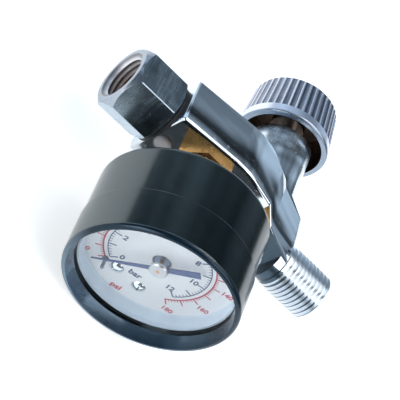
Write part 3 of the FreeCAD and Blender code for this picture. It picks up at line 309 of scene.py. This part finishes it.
def threaded_plate():
    """The nut's bore: bright crests with painted shade darkening the roots, and brass showing through the plate
    deeper in.
    """
    finish = Finish("threaded_plate", (0.90, 0.90, 0.94), 0.7, 0.3)
    across, _, _ = finish.axes()
    worn = finish.node("ValToRGB")
    for element, colour in zip(worn.color_ramp.elements, (finish.colour, (0.85, 0.52, 0.28))):
        element.color = (*colour, 1.0)
    finish.wire(finish.spread(across, 0.0, 1.0, NUT_MOUTH + BRASS_START, NUT_MOUTH + BRASS_FULL),
                worn.inputs["Fac"])
    radius = finish.off_axis((0.0, NUT_AXIS, 0.0), (0.0, 1.0, 1.0))
    # Painted shade: the colour darkens from the crests down to the thread roots.
    shade = finish.node("VectorMath", operation="SCALE")
    finish.wire(worn.outputs["Color"], shade.inputs[0])
    finish.wire(finish.spread(radius, 1.0, 0.28, NUT_CREST, NUT_ROOT), shade.inputs["Scale"])
    finish.wire(shade.outputs["Vector"], finish.shader.inputs["Base Color"])
    finish.rough(finish.noise(300.0, 3.0), 0.24, 0.42)
    finish.bump(finish.noise(2600.0, 2.0, stretch=AROUND_X), 0.0015 * MM)
    return finish.material


def turned_metal(name, colour, low, high, relief=0.004 * MM, contrast=0.80, metallic=1.0):
    """Machined metal with faint tool marks and handling stains."""
    finish = Finish(name, colour, metallic, 0.3)
    stains = finish.noise(240.0, 3.0, 0.6)
    finish.tint(stains, contrast, 1.0)
    finish.rough(stains, low, high)
    finish.bump(finish.noise(2400.0, 2.0, stretch=(1.0, 0.05, 0.05)), relief)
    return finish.material


def gloss_black(name, colour, sheen, sheen_tint=(0.66, 0.76, 0.78)):
    """Black stoving enamel with faint orange peel and dust."""
    finish = Finish(name, colour, 0.0, 0.16)
    finish.set("Specular IOR Level", sheen)
    finish.set("Specular Tint", (*sheen_tint, 1.0))
    dust = finish.spread(finish.noise(1500.0, 3.0, 0.7), 0.0, 1.0, 0.68, 0.80)
    peel = finish.noise(160.0, 3.0, 0.65)
    finish.tint(finish.noise(60.0, 3.0), 0.6, 1.8)
    finish.rough(finish.combine("ADD", peel, finish.combine("MULTIPLY", dust, 0.4)), 0.13, 0.19)
    finish.bump(finish.noise(500.0, 2.0), 0.006 * MM)
    finish.bump(dust, 0.001 * MM)
    return finish


def lip_black():
    """The enamel of the lip round the window, with a painted reflection: a strong blue sheen in its lower half
    that fades to a weak one in its upper half.
    """
    sheen, upper_sheen = 4.0, 0.45
    finish = gloss_black("bezel_lip_painted_reflection", (0.003, 0.010, 0.018), sheen, (0.56, 0.74, 0.92))
    _, _, up = finish.axes()
    # Painted reflection: the sheen strength follows the height.
    finish.wire(finish.spread(up, sheen, upper_sheen, LIP_REFLECTION_STRONG, LIP_REFLECTION_WEAK),
                finish.shader.inputs["Specular IOR Level"])
    return finish.material


def dial_enamel():
    """White enamel, slightly cool, with a very light mottle."""
    finish = Finish("dial_enamel", (0.84, 0.80, 0.80), 0.0, 0.38)
    finish.tint(finish.noise(110.0, 3.0), 0.93, 1.0)
    finish.rough(finish.noise(700.0, 3.0), 0.32, 0.46)
    finish.bump(finish.noise(4000.0, 2.0), 0.003 * MM)
    return finish.material


def soft_moulding(name, colour, low, high, grain, depth):
    """Rubber or moulded plastic with a fine grain."""
    finish = Finish(name, colour, 0.0, 0.5)
    grains = finish.noise(grain, 3.0)
    finish.tint(finish.noise(220.0, 3.0), 0.85, 1.1)
    finish.rough(grains, low, high)
    finish.bump(grains, depth)
    return finish.material


def painted(name, colour, low, high):
    """Thin paint or printing ink that is a little uneven."""
    finish = Finish(name, colour, 0.0, 0.4)
    finish.tint(finish.noise(1400.0, 3.0, 0.7), 0.75, 1.2)
    finish.rough(finish.noise(1800.0, 3.0), low, high)
    finish.bump(finish.noise(5000.0, 2.0), 0.003 * MM)
    return finish.material


def clear_window():
    """A clear pane: what is behind it shows through, with the sheen of its face on top."""
    finish = Finish("clear_window", (1.0, 1.0, 1.0), 0.0, 0.03)
    through = finish.node("BsdfTransparent")
    through.inputs["Color"].default_value = (0.94, 0.97, 0.985, 1.0)
    sheen = finish.node("BsdfGlossy")
    sheen.inputs["Color"].default_value = (1.0, 1.0, 1.0, 1.0)
    finish.wire(finish.spread(finish.noise(160.0, 3.0, 0.6), 0.015, 0.06), sheen.inputs["Roughness"])
    edge = finish.node("LayerWeight")
    edge.inputs["Blend"].default_value = 0.5
    mirrored = finish.spread(finish.combine("POWER", edge.outputs["Facing"], 5.0), 0.03, 1.0, 0.0, 1.0)
    mixed = finish.node("MixShader")
    finish.wire(mirrored, mixed.inputs["Fac"])
    finish.wire(through.outputs["BSDF"], mixed.inputs[1])
    finish.wire(sheen.outputs["BSDF"], mixed.inputs[2])
    finish.wire(mixed.outputs["Shader"], finish.tree.nodes["Material Output"].inputs["Surface"])
    finish.tree.nodes.remove(finish.shader)
    return finish.material


FINISHES = {
    "chrome_body": polished_chrome(),
    # The stepped front face gets a dark teal colour: a painted dark reflection of the black gauge in front of it.
    "front_face_painted_reflection": satin_plate("front_plate_painted_reflection", (0.075, 0.11, 0.145), 0.22, 0.42),
    "nut_plate": satin_plate("nut_nickel", (0.53, 0.66, 0.76), 0.17, 0.33),
    "nut_end": satin_plate("nut_end_nickel", (0.42, 0.47, 0.54), 0.20, 0.36),
    "nut_thread": threaded_plate(),
    "knob_plate": fluted_plate(),
    "knob_rim": satin_plate("knob_rim_plate", (0.34, 0.41, 0.50), 0.22, 0.38),
    # The knob's hollow gets a dark grey-brown: painted shade inside the skirt.
    "knob_inside": satin_plate("knob_inside", (0.26, 0.20, 0.17), 0.28, 0.50, contrast=0.35),
    "brass": turned_metal("machined_brass", (1.0, 0.55, 0.18), 0.20, 0.38, contrast=0.75, metallic=0.65),
    "bronze": turned_metal("spring_bronze", (0.62, 0.36, 0.19), 0.22, 0.42),
    "spring_steel": turned_metal("spring_steel_wire", (0.60, 0.60, 0.62), 0.20, 0.35),
    "steel": turned_metal("plated_steel", (0.86, 0.87, 0.88), 0.08, 0.16, 0.002 * MM, 0.92),
    "aluminium": turned_metal("turned_aluminium", (0.74, 0.76, 0.78), 0.25, 0.42),
    "hub_plate": turned_metal("hub_nickel", (0.62, 0.59, 0.60), 0.26, 0.40, 0.002 * MM, 0.85),
    # The arbor bushing and the stop pin are given a dark blue-grey.
    "bushing": turned_metal("dark_blue_grey_bushing", (0.16, 0.20, 0.29), 0.25, 0.40),
    "copper": turned_metal("arbor_copper", (0.74, 0.34, 0.15), 0.2, 0.4),
    "black_case": gloss_black("gloss_black", (0.002, 0.006, 0.007), 1.7).material,
    "black_shaded": gloss_black("gloss_black_shaded", (0.002, 0.006, 0.008), 0.45).material,
    "bezel_lip": lip_black(),
    "dial_white": dial_enamel(),
    "window": clear_window(),
    "black_rubber": soft_moulding("black_rubber", (0.02, 0.022, 0.025), 0.45, 0.65, 1800.0, 0.01 * MM),
    "pale_rubber": soft_moulding("pale_rubber", (0.46, 0.42, 0.40), 0.40, 0.60, 1500.0, 0.01 * MM),
    # The white spacer ring is tinted light blue: a painted cool shade on it.
    "white_ring": soft_moulding("white_moulding_painted_cool_shade", (0.74, 0.83, 0.92), 0.35, 0.55, 1500.0, 0.006 * MM),
    "pointer_blue": painted("pointer_blueing", (0.020, 0.060, 0.200), 0.22, 0.40),
    "print_blue": painted("print_blue", (0.020, 0.042, 0.14), 0.35, 0.55),
    "print_red": painted("print_red", (0.52, 0.008, 0.050), 0.35, 0.55),
}


# --------------------------------------------------------------------------- finishes on the CAD nodes

SLOTS = {row["node"]: row["material_slot"] for row in frame["record"]["subparts"]}
OWN_FINISHES = {"arbor_bushing": "bushing", "stop_pin": "bushing", "pinion_arbor": "copper"}

for name, node in frame["nodes"].items():
    node.data.materials.clear()
    node.data.materials.append(FINISHES[OWN_FINISHES.get(name, SLOTS[name])])


def second_finish(name, finish, chosen):
    """Gives another finish to the faces of a CAD node for which chosen(face) is true."""
    data = frame["nodes"][name].data
    data.materials.append(FINISHES[finish])
    for face in data.polygons:
        if chosen(face):
            face.material_index = len(data.materials) - 1


def stepped_front(face):
    """The body's front face beyond its step, which takes the painted dark reflection of the gauge."""
    return face.normal.y < -0.75 and face.center.x > STEP_START


def knob_rim(face):
    """The ring round the knob's mouth."""
    return face.normal.y < -0.3 and face.center.y < KNOB_FOOT


def knob_inside(face):
    """The knob's hollow, whose wall tapers inwards from the mouth, and which takes the painted shade."""
    deep = face.center.y - KNOB_MOUTH
    radius = math.hypot(face.center.x - KNOB_AXIS, face.center.z)
    return radius < KNOB_MOUTH_RADIUS - KNOB_TAPER * deep and face.center.y < KNOB_CEILING


def case_back(face):
    """The back of the gauge case."""
    return face.normal.y > 0.5


def bezel_lip(face):
    """The bezel's rounded front and the cone inside it, whose faces lean a quarter forward."""
    return face.normal.y < -0.23


def nut_end(face):
    """The nut's open end with its chamfer."""
    return face.normal.x < -0.4


def nut_bore(face):
    """The nut's threaded bore."""
    return math.hypot(face.center.y - NUT_AXIS, face.center.z) < NUT_BORE


second_finish("valve_body", "front_face_painted_reflection", stepped_front)
second_finish("knob", "knob_rim", knob_rim)
second_finish("knob", "knob_inside", knob_inside)
second_finish("gauge_case", "black_shaded", case_back)
second_finish("gauge_bezel", "bezel_lip", bezel_lip)
second_finish("swivel_nut", "nut_end", nut_end)
second_finish("swivel_nut", "nut_thread", nut_bore)


# --------------------------------------------------------------------------- added pieces

def keep(mesh, name, finish, slot, body):
    """Turns a bmesh into a piece that rides on a body."""
    data = bpy.data.meshes.new(name)
    mesh.normal_update()
    mesh.to_mesh(data)
    mesh.free()
    piece = bpy.data.objects.new(name, data)
    bpy.context.scene.collection.objects.link(piece)
    data.materials.append(FINISHES[finish])
    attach(piece, body)
    return piece


def smooth(piece, angle=35.0):
    """Smooth shading except across sharp edges."""
    for face in piece.data.polygons:
        face.use_smooth = True
    piece.data.set_sharp_from_angle(angle=math.radians(angle))


# --------------------------------------------------------------------------- dial print

PRINT_OFFSET = -0.65 * MM              # the print sits a little left of the pointer's axis
PRINT_CENTRE = Vector(((dial_low.x + dial_high.x) / 2 + PRINT_OFFSET, DIAL_FRONT, 0.0))
PRINT_TURN = math.radians(-14.07)      # clockwise from up, seen from the front
INK = 0.03 * MM
BOLDER = 0.03                          # how far the figures' outlines grow, as a share of their size

ZERO_ANGLE = -135.0                    # degrees clockwise from the print's own up
BAR_STEP = 22.5
BAR_PER_PSI = 0.0689476
FULL_BAR, FULL_PSI = 12, 180
RING_STEPS = 120
BAR_RING, PSI_RING = 13.0 * MM, 14.2 * MM


def on_dial(angle, radius, lift=0.0):
    """A point of the print: degrees clockwise from its own up, and a radius."""
    turn = math.radians(angle) + PRINT_TURN
    return PRINT_CENTRE + Vector((radius * math.sin(turn), -lift, radius * math.cos(turn)))


def bar_angle(bar):
    return ZERO_ANGLE + BAR_STEP * bar


def add_slab(mesh, corners):
    """A thin slab of ink over an outline of points on the dial."""
    up = Vector((0.0, -INK, 0.0))
    low = [mesh.verts.new(p) for p in corners]
    high = [mesh.verts.new(p + up) for p in corners]
    mesh.faces.new(high)
    mesh.faces.new(list(reversed(low)))
    for i in range(len(corners)):
        j = (i + 1) % len(corners)
        mesh.faces.new((low[i], low[j], high[j], high[i]))


def add_tick(mesh, bar, inner, outer, width):
    angle = bar_angle(bar)
    turn = math.radians(angle) + PRINT_TURN
    side = Vector((math.cos(turn), 0.0, -math.sin(turn))) * (width / 2)
    near, far = on_dial(angle, inner), on_dial(angle, outer)
    add_slab(mesh, [near - side, near + side, far + side, far - side])


def add_ring(mesh, last_bar, radius, width):
    """The scale's line, from zero to the last mark."""
    inner, outer = [], []
    for i in range(RING_STEPS + 1):
        angle = bar_angle(last_bar * i / RING_STEPS)
        inner.append(on_dial(angle, radius - width / 2))
        outer.append(on_dial(angle, radius + width / 2))
    for i in range(RING_STEPS):
        add_slab(mesh, [inner[i], inner[i + 1], outer[i + 1], outer[i]])


def add_text(mesh, words, angle, radius, size):
    """Numerals or a unit, upright in the print's own frame."""
    curve = bpy.data.curves.new("words", "FONT")
    curve.body = words
    curve.size = size
    curve.align_x = "CENTER"
    curve.align_y = "CENTER"
    curve.extrude = INK / 2
    curve.offset = size * BOLDER
    curve.resolution_u = 3
    words_object = bpy.data.objects.new("words", curve)
    data = bpy.data.meshes.new_from_object(words_object)
    stand = Matrix.Rotation(PRINT_TURN, 4, "Y") @ Matrix.Rotation(math.pi / 2, 4, "X")
    data.transform(Matrix.Translation(on_dial(angle, radius, INK / 2)) @ stand)
    mesh.from_mesh(data)
    bpy.data.objects.remove(words_object)
    bpy.data.curves.remove(curve)
    bpy.data.meshes.remove(data)


def print_bar_scale():
    """The blue inner scale: five ticks a bar, inside its line, and a numeral every 2 bar."""
    blue = bmesh.new()
    add_ring(blue, FULL_BAR, BAR_RING, 0.26 * MM)
    for tick in range(5 * FULL_BAR + 1):
        if tick % 5 == 0:
            add_tick(blue, tick / 5, 10.9 * MM, BAR_RING, 0.34 * MM)
        else:
            add_tick(blue, tick / 5, 12.2 * MM, BAR_RING, 0.18 * MM)
    for bar in range(0, FULL_BAR + 1, 2):
        add_text(blue, str(bar), bar_angle(bar), 9.8 * MM, 2.4 * MM)
    add_text(blue, "bar", 189.5, 9.8 * MM, 2.6 * MM)
    keep(blue, "dial_print_inner", "print_blue", "dial_white", "regulator")


def print_psi_scale():
    """The red outer scale: a tick every 2 psi, outside its line, and a numeral every 20 psi."""
    red = bmesh.new()
    add_ring(red, FULL_PSI * BAR_PER_PSI, PSI_RING, 0.40 * MM)
    for psi in range(0, FULL_PSI + 1, 2):
        if psi % 10 == 0:
            add_tick(red, psi * BAR_PER_PSI, PSI_RING, 16.2 * MM, 0.36 * MM)
        else:
            add_tick(red, psi * BAR_PER_PSI, PSI_RING, 15.0 * MM, 0.19 * MM)
    for psi in range(20, FULL_PSI + 1, 20):
        add_text(red, str(psi), bar_angle(psi * BAR_PER_PSI), 18.2 * MM, 2.1 * MM)
    add_text(red, "0", bar_angle(0) + 7.5, 18.4 * MM, 2.1 * MM)
    add_text(red, "psi", 188.5, 18.0 * MM, 2.7 * MM)
    keep(red, "dial_print_outer", "print_red", "dial_white", "regulator")


print_bar_scale()
print_psi_scale()


# --------------------------------------------------------------------------- dial screws and arbor end

SCREW_RADIUS = 1.9 * MM
SCREW_RIM = 0.15 * MM                  # height of the head's straight edge
SCREW_TURNS = (52.0, -18.0)            # degrees that the left and the right slot are turned by
SLOT_HALF = 0.16 * MM
SLOT_EDGE = 0.184 * MM                 # how far out the slot's walls reach the dome
SLOT_DEPTH = 0.25 * MM
HEAD_RINGS, HEAD_SIDES = 12, 64
STUD_SIZE = (1.0 * MM, 0.3 * MM, 0.65 * MM)
STUD_ROUND = 0.12 * MM


def head_ring(mesh, radius, y):
    """A ring of points round the Y axis."""
    angles = [2 * math.pi * i / HEAD_SIDES for i in range(HEAD_SIDES)]
    return [mesh.verts.new((radius * math.cos(a), y, radius * math.sin(a))) for a in angles]


def add_screw_head(mesh, centre, turn):
    """A domed head that faces -Y, with a straight slot turned by that many degrees."""
    front = centre.y
    height = DIAL_FRONT - SCREW_RIM - front
    ball = (SCREW_RADIUS ** 2 + height ** 2) / (2 * height)
    head = bmesh.new()
    crown = head.verts.new((0.0, front, 0.0))
    rings = []
    for ring in range(1, HEAD_RINGS + 1):
        radius = SCREW_RADIUS * ring / HEAD_RINGS
        rings.append(head_ring(head, radius, front + ball - math.sqrt(ball ** 2 - radius ** 2)))
    rings.append(head_ring(head, SCREW_RADIUS, DIAL_FRONT))
    for i in range(HEAD_SIDES):
        j = (i + 1) % HEAD_SIDES
        head.faces.new((crown, rings[0][i], rings[0][j]))
        for inner, outer in zip(rings, rings[1:]):
            head.faces.new((inner[i], outer[i], outer[j], inner[j]))
    head.faces.new(list(reversed(rings[-1])))
    for x in (-SLOT_EDGE, -SLOT_HALF, SLOT_HALF, SLOT_EDGE):
        bmesh.ops.bisect_plane(head, geom=head.verts[:] + head.edges[:] + head.faces[:],
                               plane_co=(x, 0.0, 0.0), plane_no=(1.0, 0.0, 0.0))
    for vert in head.verts:
        in_slot = abs(vert.co.x) < 1.05 * SLOT_HALF
        if in_slot and vert.co.y < front + SLOT_DEPTH:
            vert.co.y = front + SLOT_DEPTH
    bmesh.ops.recalc_face_normals(head, faces=head.faces)
    data = bpy.data.meshes.new("head")
    head.to_mesh(data)
    head.free()
    turned = Matrix.Rotation(math.radians(turn), 4, "Y")
    data.transform(Matrix.Translation((centre.x, 0.0, centre.z)) @ turned)
    mesh.from_mesh(data)
    bpy.data.meshes.remove(data)


def dial_screw_heads():
    """Two slotted heads in place of the plain ones."""
    low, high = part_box("dial_screws")
    up = (low.z + high.z) / 2
    heads = bmesh.new()
    for x, turn in zip((low.x + SCREW_RADIUS, high.x - SCREW_RADIUS), SCREW_TURNS):
        add_screw_head(heads, Vector((x, low.y, up)), turn)
    piece = keep(heads, "dial_screw_heads", "steel", "steel", "regulator")
    smooth(piece)
    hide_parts("dial_screws")


def arbor_end():
    """The arbor's flattened end, riveted over in the middle of the pointer's hub."""
    low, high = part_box("pointer_hub")
    stud = bmesh.new()
    bmesh.ops.create_cube(stud, size=1.0)
    bmesh.ops.scale(stud, verts=stud.verts, vec=STUD_SIZE)
    bmesh.ops.bevel(stud, geom=stud.edges[:], offset=STUD_ROUND, segments=3, affect="EDGES")
    bmesh.ops.translate(stud, verts=stud.verts, vec=((low.x + high.x) / 2, low.y, 0.0))
    smooth(keep(stud, "arbor_end", "copper", "bronze", "pointer"))


dial_screw_heads()
arbor_end()


# --------------------------------------------------------------------------- floor, light and camera

FLOOR_HALF = 3.0
FLOOR_GLOW = 0.62

SKY_TINT = (0.77, 0.98, 1.20)
CLOUD_SCALE, CLOUDS_THIN, CLOUDS_THICK = 3.4, 1.0, 2.9
# Strengths of the sky along two directions, each as (cosine of the angle to the direction, strength).
BACKWARDS = Vector((0.0, 1.0, 0.0))
SKY_BACKWARDS = (
    (-1.0, 0.05), (0.25, 0.10), (0.33, 0.40), (0.48, 0.40), (0.52, 0.025), (0.615, 0.045), (0.685, 0.26),
    (0.80, 0.42), (1.0, 0.50))
UP_LEFT = Vector((-0.864, 0.0, 0.503)).normalized()
SKY_UP_LEFT = ((-1.0, 0.75), (-0.45, 0.85), (0.0, 0.36), (0.30, 0.36), (0.48, 0.60), (0.66, 1.0))

CAMERA_TARGET = Vector((-41.45, -1.98, -0.02)) * MM
CAMERA_DISTANCE = 489.5 * MM
CAMERA_HEADING, CAMERA_DOWN, CAMERA_ROLL = 32.034, 41.987, 65.953      # degrees from +Y, level and upright


def link_object(name, data):
    made = bpy.data.objects.new(name, data)
    bpy.context.scene.collection.objects.link(made)
    return made


def add_floor():
    """A pale light table: the pale sheet glows a little, so the shadows on it stay thin."""
    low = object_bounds()[0]
    corners = [(-1, -1), (1, -1), (1, 1), (-1, 1)]
    mesh = bmesh.new()
    mesh.faces.new([mesh.verts.new((x * FLOOR_HALF, y * FLOOR_HALF, low.z)) for x, y in corners])
    data = bpy.data.meshes.new("floor")
    mesh.to_mesh(data)
    mesh.free()
    paper = Finish("pale_paper", (0.92, 0.94, 0.95), 0.0, 0.7)
    paper.set("Emission Color", (1.0, 1.0, 1.0, 1.0))
    paper.set("Emission Strength", FLOOR_GLOW)
    paper.tint(paper.noise(12.0, 2.0), 0.985, 1.0)
    data.materials.append(paper.material)
    link_object("floor", data)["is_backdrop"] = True


def softbox(name, direction, distance, width, height, radiance):
    """A rectangular soft light that faces the object's middle."""
    low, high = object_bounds()
    away = Vector(direction).normalized()
    lamp = bpy.data.lights.new(name, "AREA")
    lamp.shape = "RECTANGLE"
    lamp.size = width
    lamp.size_y = height
    lamp.energy = radiance * math.pi * width * height
    thing = link_object(name, lamp)
    thing.location = (low + high) / 2 + away * distance
    thing.rotation_mode = "QUATERNION"
    thing.rotation_quaternion = away.to_track_quat("Z", "Y")


def sky_ramp(sky, axis, stops):
    """A grey ramp along one direction of the sky."""
    ramp = sky.node("ValToRGB")
    elements = ramp.color_ramp.elements
    while len(elements) < len(stops):
        elements.new(0.5)
    for element, (cosine, strength) in zip(elements, stops):
        element.position = (cosine + 1.0) / 2.0
        element.color = (strength, strength, strength, 1.0)
    sky.wire(sky.spread(sky.along(axis), 0.0, 1.0, -1.0, 1.0), ramp.inputs["Fac"])
    return ramp.outputs["Color"]


def add_world():
    """A studio tent: grey behind the object, lighter to the left, dark on the viewer's side."""
    world = bpy.data.worlds.new("studio")
    world.use_nodes = True
    bpy.context.scene.world = world
    sky = Patterns(world.node_tree, "Generated")
    background = world.node_tree.nodes["Background"]
    grey = sky.vector("MULTIPLY", sky_ramp(sky, BACKWARDS, SKY_BACKWARDS),
                      sky_ramp(sky, UP_LEFT, SKY_UP_LEFT))
    sky.wire(sky.vector("MULTIPLY", grey, SKY_TINT), background.inputs["Color"])
    clouds = sky.noise(CLOUD_SCALE, 2.0)
    sky.wire(sky.spread(clouds, CLOUDS_THIN, CLOUDS_THICK, 0.36, 0.64), background.inputs["Strength"])


def add_camera():
    data = bpy.data.cameras.new("camera")
    data.sensor_width = 36.0
    data.lens = 180.0
    data.clip_start = 0.01
    data.clip_end = 20.0
    camera = link_object("camera", data)
    heading = Matrix.Rotation(-math.radians(CAMERA_HEADING), 4, "Z")
    down = Matrix.Rotation(math.radians(90.0 - CAMERA_DOWN), 4, "X")
    roll = Matrix.Rotation(math.radians(CAMERA_ROLL), 4, "Z")
    back = Matrix.Translation((0.0, 0.0, CAMERA_DISTANCE))
    camera.matrix_world = Matrix.Translation(CAMERA_TARGET) @ heading @ down @ roll @ back
    bpy.context.scene.camera = camera


add_floor()
add_world()
softbox("overhead_softbox", (0.28, -0.14, 1.0), distance=1.05, width=1.05, height=1.05, radiance=1.7)
softbox("front_softbox", (0.58, -0.61, 0.54), distance=0.9, width=0.62, height=0.34, radiance=2.6)
softbox("fill_softbox", (-0.62, -0.77, 0.12), distance=0.8, width=0.6, height=0.4, radiance=4.8)
add_camera()
bpy.context.scene.view_settings.view_transform = "Standard"
